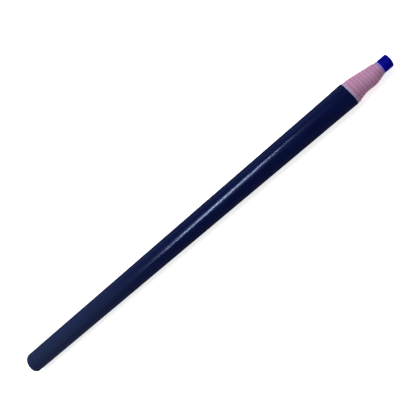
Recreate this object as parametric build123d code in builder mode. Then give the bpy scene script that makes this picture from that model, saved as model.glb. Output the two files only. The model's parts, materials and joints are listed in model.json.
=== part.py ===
from build123d import *
import os
from math import cos, radians, sin, sqrt, tan

# Peel-off tailor's marking pencil: a chalk rod wound in a strip of paper, with a
# pull string laid along the wrap and a thin sleeve of coated paper over both.
# It lies on its glued seam along X, tip towards +X, on the plane Z = 0. Millimetres.

# Overall sizes
TOTAL_LENGTH = 174.0
OUTER_DIAMETER = 8.0
CORE_REACH = 2.95
CONE_LENGTH = 11.5

# Chalk core
CORE_DIAMETER = 4.16
CORE_TIP_ROUNDING = 0.55

# Wound paper strip
WRAP_BOND_GAP = 0.01
INNER_PLY = 0.12
PLY_EDGE = 0.14
OUTER_BAND_WIDTH = 0.70
INNER_BAND_WIDTH = 0.52
STAIR_TURNS = 10

# Outer sleeve
SLEEVE_WALL = 0.12
SLEEVE_FIT_GAP = 0.01
SEAM_LAP_WIDTH = 3.0
SEAM_LAP_ANGLE = -90.0
SEAM_FLAT_WIDTH = 1.6
SEAM_EDGE_WIDTH = 0.08
SEAM_EDGE_DEPTH = 0.05

# Pull string
STRING_DIAMETER = 0.40
STRING_COVER = 0.02
STRING_GAP = 0.02
STRING_ANGLE = 0.0

# Cut ends: both are a little out of square. The mouth runs longer on the cone's full side,
# and the tail on a side of its own
FULL_SIDE_ANGLE = 210.0
MOUTH_CUT_SKEW = 5.6
TAIL_SIDE_ANGLE = 261.0
TAIL_CUT_SKEW = 10.5
TAIL_ROUNDING = 0.30
OVERRUN = 2.0

# Outline of the peeled cone on its straight side and on its full side, from the
# first ply edge to the last: places along the cone, and heights of the wall left
STATION_SHARES = (0.00, 0.10, 0.19, 0.29, 0.40, 0.50, 0.61, 0.70, 0.80, 0.90, 1.00)
STRAIGHT_SIDE_SHARES = (1.00, 1.00, 0.86, 0.73, 0.60, 0.48, 0.35, 0.23, 0.11, 0.01, 0.00)
FULL_SIDE_SHARES = (1.00, 1.00, 0.84, 0.62, 0.54, 0.545, 0.60, 0.53, 0.355, 0.12, 0.00)

# The stair is cut away in sectors, each lofted through half planes round the axis
STAIR_START_ANGLE = -60.0
STAIR_SECTORS = 2
PLANES_PER_SECTOR = 8

outer_radius = OUTER_DIAMETER / 2
# The lap is pressed flat where the pencil lies on it, so its axis is a little nearer the plane
axis_height = sqrt(outer_radius**2 - (SEAM_FLAT_WIDTH / 2) ** 2)
core_radius = CORE_DIAMETER / 2
wrap_bore_radius = core_radius + WRAP_BOND_GAP
inner_ply_radius = wrap_bore_radius + INNER_PLY
sleeve_bore_radius = outer_radius - SLEEVE_WALL
wrap_radius = sleeve_bore_radius - SLEEVE_FIT_GAP
lap_radius = sleeve_bore_radius - SLEEVE_WALL
seam_edge_angle = SEAM_LAP_ANGLE + SEAM_LAP_WIDTH / 2 / outer_radius / radians(1)
string_radius = STRING_DIAMETER / 2
string_seat_radius = wrap_radius - STRING_COVER - string_radius

tip_x = TOTAL_LENGTH / 2
junction_x = tip_x - CORE_REACH
mouth_x = junction_x - CONE_LENGTH
# The rounded edge on the tail's longer side is what touches x = -TOTAL_LENGTH / 2
tail_tilt = radians(TAIL_CUT_SKEW)
tail_reach = tan(tail_tilt) * (outer_radius - TAIL_ROUNDING) + TAIL_ROUNDING - TAIL_ROUNDING / cos(tail_tilt)
tail_x = tail_reach - TOTAL_LENGTH / 2
start_x = -TOTAL_LENGTH / 2 - OVERRUN


def cross_plane(x):
    """Plane across the pencil at x, with its own X along +Y and its own Y along +Z."""
    return Plane(origin=(x, 0, axis_height), x_dir=(0, 1, 0), z_dir=(1, 0, 0))


def skewed_plane(x, skew, side_angle):
    """Plane across the axis at x, leaning by skew degrees so that its side at an angle is further on."""
    lean = sin(radians(skew))
    side = radians(side_angle)
    normal = (cos(radians(skew)), -lean * cos(side), -lean * sin(side))
    return Plane(origin=(x, 0, axis_height), z_dir=normal)


def half_plane(angle):
    """Plane through the axis at a given angle from +Y, with its own Y pointing outwards."""
    turn = radians(angle)
    return Plane(origin=(0, 0, axis_height), x_dir=(1, 0, 0), z_dir=(0, -sin(turn), cos(turn)))


def smooth_share(place, shares):
    """Height share at a place along the cone, on a smooth curve through the stations."""
    last = len(STATION_SHARES) - 1
    index = max(i for i in range(last) if i == 0 or STATION_SHARES[i] <= place)
    low, high = STATION_SHARES[index], STATION_SHARES[index + 1]

    def slope(i):
        before, after = max(i - 1, 0), min(i + 1, last)
        return (shares[after] - shares[before]) / (STATION_SHARES[after] - STATION_SHARES[before])

    span = high - low
    t = (place - low) / span
    rise = (2 * t**3 - 3 * t**2 + 1) * shares[index] + (3 * t**2 - 2 * t**3) * shares[index + 1]
    lean = (t**3 - 2 * t**2 + t) * slope(index) + (t**3 - t**2) * slope(index + 1)
    return rise + span * lean


def cone_radius(x, angle):
    """Radius at the foot of a ply edge at x, at a given angle round the pencil."""
    place = (x - stair_start_x) / (stair_end_x - stair_start_x)
    straight = smooth_share(place, STRAIGHT_SIDE_SHARES)
    full = smooth_share(place, FULL_SIDE_SHARES)
    height = (straight + full) / 2 + (full - straight) / 2 * cos(radians(angle - FULL_SIDE_ANGLE))
    return inner_ply_radius + height * (wrap_radius - PLY_EDGE - inner_ply_radius)


stair_start_x = mouth_x + OUTER_BAND_WIDTH
stair_end_x = junction_x - INNER_BAND_WIDTH
stair_pitch = (stair_end_x - stair_start_x) / STAIR_TURNS


def waste_outline(turn):
    """Half section of what is peeled off the wrap, after a share of a turn of the helical edge."""
    angle = STAIR_START_ANGLE + 360 * turn
    edges = [stair_start_x + stair_pitch * (count + turn) for count in range(STAIR_TURNS)]
    feet = [cone_radius(x, angle) for x in edges[:-1]] + [inner_ply_radius]
    points = [(edges[0], outer_radius + OVERRUN)]
    for count, (x, foot) in enumerate(zip(edges, feet)):
        if count:
            points.append((x, cone_radius(x, angle) + PLY_EDGE))
        points.append((x, foot))
    points += [(tip_x, inner_ply_radius), (tip_x, outer_radius + OVERRUN)]
    return points


def lap_outline(floor_radius, half_width):
    """Wires round a band along the seam, from a floor radius to past the outside."""
    half_span = half_width / floor_radius / radians(1)
    start_angle = SEAM_LAP_ANGLE - half_span
    floor = CenterArc((0, 0), floor_radius, start_angle, 2 * half_span)
    top = CenterArc((0, 0), outer_radius + OVERRUN, start_angle, 2 * half_span)
    Line(floor @ 0, top @ 0)
    Line(floor @ 1, top @ 1)


tail_plane = skewed_plane(tail_x, -TAIL_CUT_SKEW, TAIL_SIDE_ANGLE)
mouth_plane = skewed_plane(mouth_x, MOUTH_CUT_SKEW, FULL_SIDE_ANGLE)

# The whole barrel's outer form: the flat that it lies on, then the cut tail, rounded all round
with BuildPart() as barrel_form:
    with BuildSketch(cross_plane(start_x)):
        Circle(outer_radius)
    extrude(amount=junction_x - start_x)
    split(bisect_by=Plane.XY, keep=Keep.TOP)
    split(bisect_by=tail_plane, keep=Keep.TOP)
    fillet(barrel_form.faces().sort_by(Axis.X)[0].edges(), radius=TAIL_ROUNDING)

# Chalk rod, full length, its tip worn round at the edge
with BuildPart() as marking_core:
    with BuildSketch(cross_plane(start_x)):
        Circle(core_radius)
    extrude(amount=tip_x - start_x)
    split(bisect_by=tail_plane, keep=Keep.TOP)
    fillet(marking_core.edges().sort_by(Axis.X)[-1], radius=CORE_TIP_ROUNDING)
marking_core.part.label = "marking_core"

# String in its groove along the wrap, ending flush with both of the sleeve's cut ends
with BuildPart() as pull_string:
    with BuildSketch(cross_plane(start_x)):
        with PolarLocations(string_seat_radius, 1, start_angle=STRING_ANGLE):
            Circle(string_radius)
    extrude(amount=tip_x - start_x)
    split(bisect_by=tail_plane, keep=Keep.TOP)
    split(bisect_by=mouth_plane, keep=Keep.BOTTOM)
pull_string.part.label = "pull_string"

# Grooves pressed into the outermost ply under the sleeve: a narrow one by the string, open
# outwards, and a wide shallow one by the second layer of the sleeve's lap
with BuildPart() as wrap_grooves:
    with BuildSketch(cross_plane(start_x)):
        with PolarLocations(string_seat_radius, 1, start_angle=STRING_ANGLE):
            Circle(string_radius + STRING_GAP)
            Rectangle(OVERRUN, 2 * (string_radius + STRING_GAP), align=(Align.MIN, Align.CENTER))
        with BuildLine():
            lap_outline(lap_radius - SLEEVE_FIT_GAP, SEAM_LAP_WIDTH / 2 + SLEEVE_FIT_GAP)
        make_face()
    extrude(amount=tip_x - start_x)
    split(bisect_by=mouth_plane, keep=Keep.BOTTOM)

# Wound paper strip: a tube of plies whose peeled front is a helical stair of ply edges
with BuildPart() as paper_wrap:
    with BuildSketch(cross_plane(start_x)):
        Circle(wrap_radius)
        Circle(wrap_bore_radius, mode=Mode.SUBTRACT)
    extrude(amount=junction_x - start_x)
    add(barrel_form.part, mode=Mode.INTERSECT)
    add(wrap_grooves.part, mode=Mode.SUBTRACT)
    for sector in range(STAIR_SECTORS):
        for step in range(PLANES_PER_SECTOR + 1):
            turn = (sector + step / PLANES_PER_SECTOR) / STAIR_SECTORS
            with BuildSketch(half_plane(STAIR_START_ANGLE + 360 * turn)):
                Polygon(*waste_outline(turn), align=None)
        loft(mode=Mode.SUBTRACT)
paper_wrap.part.label = "paper_wrap"

# Sleeve: one sheet of coated paper rolled once round, glued down and pressed flat where its
# edges lap. The second layer lies inwards, and the free edge leaves a fine line outside
with BuildPart() as outer_sleeve:
    add(barrel_form.part)
    with BuildSketch(cross_plane(start_x)):
        Circle(sleeve_bore_radius)
        with BuildLine():
            lap_outline(lap_radius, SEAM_LAP_WIDTH / 2)
        make_face(mode=Mode.SUBTRACT)
        Circle(lap_radius)
    extrude(amount=tip_x - start_x, mode=Mode.SUBTRACT)
    with BuildSketch(cross_plane(start_x)):
        with PolarLocations(outer_radius, 1, start_angle=seam_edge_angle):
            Rectangle(2 * SEAM_EDGE_DEPTH, SEAM_EDGE_WIDTH)
    extrude(amount=tip_x - start_x, mode=Mode.SUBTRACT)
    split(bisect_by=mouth_plane, keep=Keep.BOTTOM)
outer_sleeve.part.label = "outer_sleeve"

os.makedirs("parts", exist_ok=True)
export_step(marking_core.part, "parts/marking_core.step")
export_step(paper_wrap.part, "parts/paper_wrap.step")
export_step(pull_string.part, "parts/pull_string.step")
export_step(outer_sleeve.part, "parts/outer_sleeve.step")
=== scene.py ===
"""Looks of a peel-off tailor's chalk pencil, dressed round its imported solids.

The pencil lies along X on the floor, tip towards +X. Sizes are in millimetres and become
metres where a mesh, a lamp or a material takes them. Angles are in degrees round the
pencil's axis, from +Y towards +Z. A span is a pair of values, from the first to the last.
"""

import json
import logging
from collections.abc import Callable
from dataclasses import dataclass, field
from enum import Enum
from functools import cached_property, partial
from math import acos, cos, degrees, exp, pi, radians, sin, tan

import bmesh
import bpy
from mathutils import Matrix, Vector, noise


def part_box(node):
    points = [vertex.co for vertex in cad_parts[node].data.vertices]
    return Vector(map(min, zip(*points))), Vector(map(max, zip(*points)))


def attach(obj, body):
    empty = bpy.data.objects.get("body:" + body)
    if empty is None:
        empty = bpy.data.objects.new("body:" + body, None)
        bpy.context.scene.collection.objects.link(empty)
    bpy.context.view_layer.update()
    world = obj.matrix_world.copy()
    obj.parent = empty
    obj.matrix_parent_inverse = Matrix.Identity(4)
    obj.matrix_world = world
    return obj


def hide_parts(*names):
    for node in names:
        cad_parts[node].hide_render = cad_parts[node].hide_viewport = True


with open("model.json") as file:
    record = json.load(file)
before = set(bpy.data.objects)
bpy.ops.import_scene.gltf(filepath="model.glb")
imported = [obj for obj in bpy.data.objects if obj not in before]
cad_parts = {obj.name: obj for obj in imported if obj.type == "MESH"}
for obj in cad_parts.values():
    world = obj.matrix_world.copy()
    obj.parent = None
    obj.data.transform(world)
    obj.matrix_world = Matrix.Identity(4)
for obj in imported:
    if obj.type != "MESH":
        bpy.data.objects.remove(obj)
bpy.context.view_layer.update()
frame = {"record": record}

log = logging.getLogger("pencil")

MM = 0.001
BODY = "root"
WHITE = (1.0, 1.0, 1.0, 1.0)
FULL_TURN = 360.0
# The strip's front edge stands this far behind the solid's
JUNCTION_SETBACK = 0.28
# Level of the ply step on points that the peeling leaves alone
UNPEELED = -1.0

# Gives a ring's x and radius at an angle
Ring = Callable[[float], tuple[float, float]]


class Slot(Enum):
    """The record's material slots."""

    CHALK = "chalk_blue"
    STRIP = "strip_paper"
    SLEEVE = "sleeve_paper"
    STRING = "string_cotton"


class Mark(Enum):
    """Names of the values that meshes carry for their materials and node trees."""

    PLY_STEP = "ply_step"
    CUT_EDGE = "cut_edge"
    INNER_BAND = "inner_band"
    TAIL_FACE = "tail_face"


class Socket(Enum):
    """What the inputs and outputs of a node tree carry."""

    NUMBER = "NodeSocketFloat"
    WHOLE = "NodeSocketInt"
    VECTOR = "NodeSocketVector"
    GEOMETRY = "NodeSocketGeometry"
    MATERIAL = "NodeSocketMaterial"


def corners(node: str) -> tuple[Vector, Vector]:
    """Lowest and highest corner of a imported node's box."""
    low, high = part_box(node)
    return low / MM, high / MM


def mount(name: str) -> dict:
    """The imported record's entry for a mount, by name."""
    return next(entry for entry in frame["record"]["mounts"] if entry["name"] == name)


def between(low: float, high: float, share: float) -> float:
    """The value at a share of the way from one value to another."""
    return low + (high - low) * share


def kept_share(share: float) -> float:
    """A share kept from 0 to 1."""
    return min(1.0, max(0.0, share))


def angle_between(a: float, b: float) -> float:
    """Signed difference of two angles, from -180 to 180."""
    return (a - b + FULL_TURN / 2) % FULL_TURN - FULL_TURN / 2


def uneven(along: float, spread: float, angle: float) -> float:
    """Smooth noise from -1 to 1 that closes round the pencil, livelier with more spread."""
    turn = radians(angle)
    return noise.noise(Vector((along, spread * cos(turn), spread * sin(turn))))


def dented(reach: float, angle: float, layer: float) -> float:
    """Smooth noise from -1 to 1 on a face across the pencil, another one in each layer."""
    turn = radians(angle)
    return noise.noise(Vector((reach * cos(turn), reach * sin(turn), layer)))


@dataclass(frozen=True)
class PencilForm:
    """Sizes that the pieces share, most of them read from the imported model."""

    radius: float = mount("barrel")["dims"]["r_mm"]
    axis_height: float = mount("barrel")["pos_m"][2] / MM
    tail_x: float = mount("tail_end")["pos_m"][0] / MM
    tail_normal: tuple = tuple(mount("tail_end")["axis"])
    junction_x: float = corners("paper_wrap")[1].x - JUNCTION_SETBACK
    tip_x: float = corners("marking_core")[1].x
    core_radius: float = (corners("marking_core")[1].y - corners("marking_core")[0].y) / 2
    cone_length: float = 11.28
    mouth_skew: float = 3.2
    full_side: float = 210.0
    sleeve_wall: float = 0.12
    fit_gap: float = 0.01
    tail_rounding: float = 0.30
    lap_width: float = 3.0
    lap_angle: float = -90.0
    string_angle: float = 0.0

    @property
    def mouth_x(self) -> float:
        """Place of the sleeve's mouth on the axis."""
        return self.junction_x - self.cone_length

    @property
    def wrap_radius(self) -> float:
        """Outside of the unpeeled wrap."""
        return self.radius - self.sleeve_wall - self.fit_gap

    @property
    def lap_half(self) -> float:
        """Half of the angle that the lap spans."""
        return degrees(self.lap_width / 2 / self.radius)

    def skewed_x(self, place: float, normal: tuple, radius: float, angle: float) -> float:
        """X of a point on a leaning plane across the pencil.

        Args:
            place: where the plane meets the axis.
            normal: the plane's normal.
            radius: distance of the point from the axis.
            angle: angle of the point.

        Returns:
            The point's x.
        """
        turn = radians(angle)
        side = normal[1] * cos(turn) + normal[2] * sin(turn)
        return place - radius * side / normal[0]

    def tail_at(self, radius: float, angle: float) -> float:
        """X of the tail's cut at a radius and an angle."""
        return self.skewed_x(self.tail_x, self.tail_normal, radius, angle)

    def mouth_at(self, angle: float) -> float:
        """X of the sleeve's plain mouth on the outside.

        Args:
            angle: angle of the place.

        Returns:
            The place's x.
        """
        lean, side = radians(self.mouth_skew), radians(self.full_side)
        normal = (cos(lean), -sin(lean) * cos(side), -sin(lean) * sin(side))
        return self.skewed_x(self.mouth_x, normal, self.radius, angle)

    def point(self, x: float, radius: float, angle: float) -> tuple[float, float, float]:
        """A place in metres from x, a radius and an angle."""
        turn = radians(angle)
        return x * MM, radius * cos(turn) * MM, (self.axis_height + radius * sin(turn)) * MM


@dataclass
class RingSkin:
    """A skin woven from rings of points round the pencil, one ring after another."""

    form: PencilForm
    angles: list[float]
    points: list = field(default_factory=list)
    marks: dict = field(default_factory=lambda: {mark: [] for mark in Mark})

    def add(self, ring: Ring, **levels: float) -> None:
        """Adds one ring.

        Args:
            ring: gives the x and the radius of the ring at an angle.
            levels: values of the ring's points, by the names of Mark in small letters.
        """
        self.points += [self.form.point(*ring(angle), angle) for angle in self.angles]
        for mark, values in self.marks.items():
            plain = UNPEELED if mark is Mark.PLY_STEP else 0.0
            values += [levels.get(mark.value, plain)] * len(self.angles)

    def to_mesh(self, name: str, closed_round: bool, closed_profile: bool) -> bpy.types.Mesh:
        """Weaves the rings into a mesh of quads.

        Args:
            name: name of the mesh.
            closed_round: whether a ring's last point joins its first.
            closed_profile: whether the last ring joins the first.

        Returns:
            The mesh, with a float value for each mark.
        """
        size = len(self.angles)
        count = len(self.points) // size
        rows = [(i, (i + 1) % count) for i in range(count if closed_profile else count - 1)]
        columns = [(j, (j + 1) % size) for j in range(size if closed_round else size - 1)]
        faces = [
            (low * size + left, low * size + right, high * size + right, high * size + left)
            for low, high in rows
            for left, right in columns
        ]
        mesh = bpy.data.meshes.new(name)
        mesh.from_pydata(self.points, [], faces)
        for mark, values in self.marks.items():
            mesh.attributes.new(mark.value, "FLOAT", "POINT").data.foreach_set("value", values)
        return mesh


def weld(mesh: bpy.types.Mesh, gap: float, sharp: float) -> bpy.types.Mesh:
    """Joins points that meet, closes the slits that are left, and turns all faces outwards.

    Args:
        mesh: the mesh to mend.
        gap: greatest distance of points that are joined, in metres.
        sharp: angle from which an edge is shown sharp.

    Returns:
        The same mesh.
    """
    work = bmesh.new()
    work.from_mesh(mesh)
    bmesh.ops.remove_doubles(work, verts=work.verts, dist=gap)
    bmesh.ops.dissolve_degenerate(work, edges=work.edges, dist=gap)
    bmesh.ops.holes_fill(work, edges=[edge for edge in work.edges if edge.is_boundary], sides=0)
    bmesh.ops.recalc_face_normals(work, faces=work.faces)
    if work.calc_volume(signed=True) < 0:
        bmesh.ops.reverse_faces(work, faces=work.faces)
    work.to_mesh(mesh)
    work.free()
    mesh.shade_smooth()
    mesh.set_sharp_from_angle(angle=radians(sharp))
    return mesh


def show(name: str, data: bpy.types.ID) -> bpy.types.Object:
    """Links a mesh, a lamp or a camera to the scene as an object at the origin.

    Args:
        name: name of the object.
        data: what it shows.

    Returns:
        The object.
    """
    item = bpy.data.objects.new(name, data)
    bpy.context.scene.collection.objects.link(item)
    return item


def stand(item: bpy.types.Object, axes: tuple[Vector, Vector, Vector], place: Vector) -> None:
    """Places a lamp or a camera.

    Args:
        item: the lamp or the camera.
        axes: where its own X, Y and Z point to.
        place: its place.
    """
    matrix = Matrix(axes).transposed().to_4x4()
    matrix.translation = place * MM
    item.matrix_world = matrix


class Value:
    """A number, a vector or a colour that a node puts out, ready for sums."""

    def __init__(self, graph: "Graph", socket: bpy.types.NodeSocket) -> None:
        """Keeps the output socket, and the graph that the nodes of its sums go into."""
        self.graph = graph
        self.socket = socket

    def __add__(self, other: object) -> "Value":
        """The sum with another value."""
        return self.graph.math("ADD", self, other)

    def __sub__(self, other: object) -> "Value":
        """What is left when another value is taken away."""
        return self.graph.math("SUBTRACT", self, other)

    def __rsub__(self, other: object) -> "Value":
        """What is left of another value when this one is taken away."""
        return self.graph.math("SUBTRACT", other, self)

    def __mul__(self, other: object) -> "Value":
        """The product with another value."""
        return self.graph.math("MULTIPLY", self, other)

    def __truediv__(self, other: object) -> "Value":
        """The quotient by another value."""
        return self.graph.math("DIVIDE", self, other)


class Graph:
    """Short ways to add and join the nodes of one tree."""

    def __init__(self, tree: bpy.types.NodeTree) -> None:
        """Keeps the tree that the nodes go into."""
        self.tree = tree

    def feed(self, node: bpy.types.Node, inputs: dict) -> None:
        """Gives a node's inputs their values, or joins them to what other nodes put out.

        Args:
            node: the node.
            inputs: what goes in, by place or by name with an underscore for each space.
        """
        for name, source in inputs.items():
            socket = node.inputs[name.replace("_", " ") if isinstance(name, str) else name]
            if isinstance(source, Value):
                self.tree.links.new(source.socket, socket)
            else:
                socket.default_value = source

    def node(self, kind: str, inputs: dict | None = None, **settings: object) -> bpy.types.Node:
        """Adds a node.

        Args:
            kind: the node's type name.
            inputs: what goes in, as for feed.
            settings: properties of the node to set.

        Returns:
            The new node.
        """
        made = self.tree.nodes.new(kind)
        for name, value in settings.items():
            setattr(made, name, value)
        self.feed(made, inputs or {})
        return made

    def out(self, kind: str, inputs: dict | None = None, output: int | str = 0,
            **settings: object) -> Value:
        """Adds a node as node() does, and returns one of its outputs, by place or name."""
        return Value(self, self.node(kind, inputs, **settings).outputs[output])

    def math(self, operation: str, *values: object, clamp: bool = False) -> Value:
        """Works out a number from others, and keeps it from 0 to 1 if it is clamped."""
        return self.out("ShaderNodeMath", dict(enumerate(values)), operation=operation, use_clamp=clamp)

    def noise(self, place: Value, scale: object, detail: float = 2.0, roughness: float = 0.5) -> Value:
        """Cloudy noise round one half, at a place in metres."""
        return self.out("ShaderNodeTexNoise", {
            "Vector": place, "Scale": scale, "Detail": detail, "Roughness": roughness})

    def combine(self, x: object, y: object, z: object) -> Value:
        """Makes a vector of three numbers."""
        return self.out("ShaderNodeCombineXYZ", {0: x, 1: y, 2: z})

    def split(self, vector: Value) -> list[Value]:
        """Takes a vector apart into its three numbers."""
        return [Value(self, part) for part in self.node("ShaderNodeSeparateXYZ", {0: vector}).outputs]

    def remap(self, value: object, span: tuple, onto: tuple = (0.0, 1.0)) -> Value:
        """Maps a value from one span onto another, smoothly and kept within it.

        Args:
            value: the value.
            span: where it runs from and to.
            onto: what it becomes at both ends.

        Returns:
            The mapped value.
        """
        return self.out("ShaderNodeMapRange", {
            "Value": value, "From Min": span[0], "From Max": span[1], "To Min": onto[0],
            "To Max": onto[1]}, "Result", interpolation_type="SMOOTHSTEP")


class NamedTree(Graph):
    """A node tree of its own, with named inputs and outputs."""

    def __init__(self, name: str, kind: str, inputs: dict, outputs: dict) -> None:
        """Makes the tree and its sockets.

        Args:
            name: name of the tree.
            kind: its type name.
            inputs: its inputs by name, each a kind of socket or a number to start from.
            outputs: its kinds of output by name.
        """
        super().__init__(bpy.data.node_groups.new(name, kind))
        for label, start in inputs.items():
            carried = start if isinstance(start, Socket) else Socket.NUMBER
            carried = Socket.WHOLE if isinstance(start, int) else carried
            socket = self.tree.interface.new_socket(label, in_out="INPUT", socket_type=carried.value)
            if carried is not start:
                socket.default_value = start
        for label, carried in outputs.items():
            self.tree.interface.new_socket(label, in_out="OUTPUT", socket_type=carried.value)
        source = self.node("NodeGroupInput")
        self.given = {label: Value(self, source.outputs[label]) for label in inputs}

    def close(self, **results: Value) -> bpy.types.NodeTree:
        """Joins the results to the outputs and returns the finished tree."""
        self.node("NodeGroupOutput", results)
        return self.tree


class FinishGroup(NamedTree):
    """A shader node group for an effect that more than one material uses."""

    def __init__(self, name: str, numbers: dict, results: tuple[str, ...]) -> None:
        """Makes the group from its numbers and what they start from, and its results' names."""
        super().__init__(name, "ShaderNodeTree", {"Vector": Socket.VECTOR, **numbers},
                         {label: Socket.NUMBER for label in results})


class PieceTree(NamedTree):
    """A Geometry Nodes tree that makes a piece and gives it its material."""

    # Places of the Random Value node's sockets for numbers
    LOW, HIGH, NUMBER = 2, 3, 1

    def __init__(self, name: str, inputs: dict) -> None:
        """Makes the tree and its sockets.

        Args:
            name: name of the tree.
            inputs: its inputs beside the geometry and the material, as for NamedTree.
        """
        super().__init__(name, "GeometryNodeTree",
                         {"Geometry": Socket.GEOMETRY, **inputs, "Material": Socket.MATERIAL},
                         {"Geometry": Socket.GEOMETRY})

    def mark(self, mark: Mark) -> Value:
        """Reads one of the mesh's marks."""
        return self.out("GeometryNodeInputNamedAttribute", {"Name": mark.value}, "Attribute",
                        data_type="FLOAT")

    def finish(self, geometry: Value) -> bpy.types.NodeTree:
        """Ends the tree with real geometry in its material.

        Args:
            geometry: what the tree has made.

        Returns:
            The finished tree.
        """
        real = self.out("GeometryNodeRealizeInstances", {0: geometry})
        return self.close(Geometry=self.out("GeometryNodeSetMaterial", {
            "Geometry": real, "Material": self.given["Material"]}))

    def random(self, span: tuple, seed: Value) -> Value:
        """A random number from a span for each point."""
        return self.out("FunctionNodeRandomValue", {
            self.LOW: span[0], self.HIGH: span[1], "Seed": seed}, self.NUMBER, data_type="FLOAT")

    def sweep(self, curve: Value, sides: object, radius: Value) -> Value:
        """Sweeps a closed round tube along curves.

        Args:
            curve: the curves.
            sides: number of the tube's sides.
            radius: its radius.

        Returns:
            The tubes.
        """
        ring = self.out("GeometryNodeCurvePrimitiveCircle", {"Resolution": sides, "Radius": radius},
                        mode="RADIUS")
        return self.out("GeometryNodeCurveToMesh", {
            "Curve": curve, "Profile Curve": ring, "Fill Caps": True})


def run_tree(mesh: bpy.types.Mesh, tree: bpy.types.NodeTree, values: dict) -> bpy.types.Mesh:
    """Runs a Geometry Nodes tree on a mesh and returns the plain result.

    Args:
        mesh: the mesh that goes in, which is deleted afterwards.
        tree: the tree.
        values: values of its inputs by name.

    Returns:
        A new mesh.
    """
    carrier = show("carrier", mesh)
    modifier = carrier.modifiers.new("tree", "NODES")
    modifier.node_group = tree
    for item in tree.interface.items_tree:
        if item.in_out == "INPUT" and item.name in values:
            modifier[item.identifier] = values[item.name]
    carrier.update_tag()
    graph = bpy.context.evaluated_depsgraph_get()
    result = bpy.data.meshes.new_from_object(carrier.evaluated_get(graph), depsgraph=graph)
    carrier.modifiers.remove(modifier)
    bpy.data.objects.remove(carrier)
    bpy.data.meshes.remove(mesh)
    return result


def join_meshes(whole: bpy.types.Mesh, extra: bpy.types.Mesh) -> bpy.types.Mesh:
    """Joins a second mesh of the same finish to a first, and deletes the second.

    Args:
        whole: the mesh that takes both.
        extra: the mesh that goes into it.

    Returns:
        The first mesh.
    """
    work = bmesh.new()
    work.from_mesh(whole)
    work.from_mesh(extra)
    work.to_mesh(whole)
    work.free()
    bpy.data.meshes.remove(extra)
    return whole


class Surface(Graph):
    """The nodes of one material, which ends in a plain surface shader."""

    # Places of the Mix node's sockets for colours
    SHARE, UNDER, OVER, MIXED = 0, 6, 7, 2

    def __init__(self, name: str) -> None:
        """Makes the material.

        Args:
            name: name of the material.
        """
        self.material = bpy.data.materials.new(name)
        self.material.use_nodes = True
        super().__init__(self.material.node_tree)

    @cached_property
    def place(self) -> Value:
        """The object coordinates, in metres."""
        return self.out("ShaderNodeTexCoord", output="Object")

    def mark(self, mark: Mark) -> Value:
        """Reads one of the mesh's marks."""
        return self.out("ShaderNodeAttribute", output="Fac", attribute_name=mark.value)

    def stretched(self, form: PencilForm, along: float, across: float) -> Value:
        """The object coordinates, scaled from a place on the pencil's axis.

        Args:
            form: the pencil's sizes.
            along: scale along the pencil.
            across: scale across it.

        Returns:
            The scaled coordinates.
        """
        return self.out("ShaderNodeMapping", {
            "Vector": self.place, "Location": (0.0, 0.0, -form.axis_height * MM * across),
            "Scale": (along, across, across)})

    def from_axis(self, form: PencilForm) -> tuple[Value, Value, Value]:
        """The object coordinates one by one, with the height measured from the pencil's axis."""
        x, y, z = self.split(self.place)
        return x, y, z - form.axis_height * MM

    def group(self, tree: bpy.types.NodeTree, **values: object) -> dict[str, Value]:
        """Places a shader node group and returns its outputs by name."""
        made = self.node("ShaderNodeGroup", values, node_tree=tree)
        return {socket.name: Value(self, socket) for socket in made.outputs}

    def layers(self, colour: object, *coats: tuple) -> Value:
        """Lays colours over one another.

        Args:
            colour: the lowest colour.
            coats: for each colour over it, how much it covers and the colour.

        Returns:
            The mixed colour.
        """
        for share, coat in coats:
            colour = self.out("ShaderNodeMix", {self.SHARE: share, self.UNDER: colour, self.OVER: coat},
                              self.MIXED, data_type="RGBA")
        return colour

    def bump(self, height: Value, depth: float, strength: float) -> Value:
        """The normal of a surface with a height from 0 to 1, its full depth and its strength."""
        return self.out("ShaderNodeBump", {
            "Height": height, "Distance": depth * MM, "Strength": strength})

    def finish(self, **values: object) -> bpy.types.Material:
        """Feeds the shader's inputs and returns the finished material."""
        self.feed(self.tree.nodes["Principled BSDF"], values)
        return self.material


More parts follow.
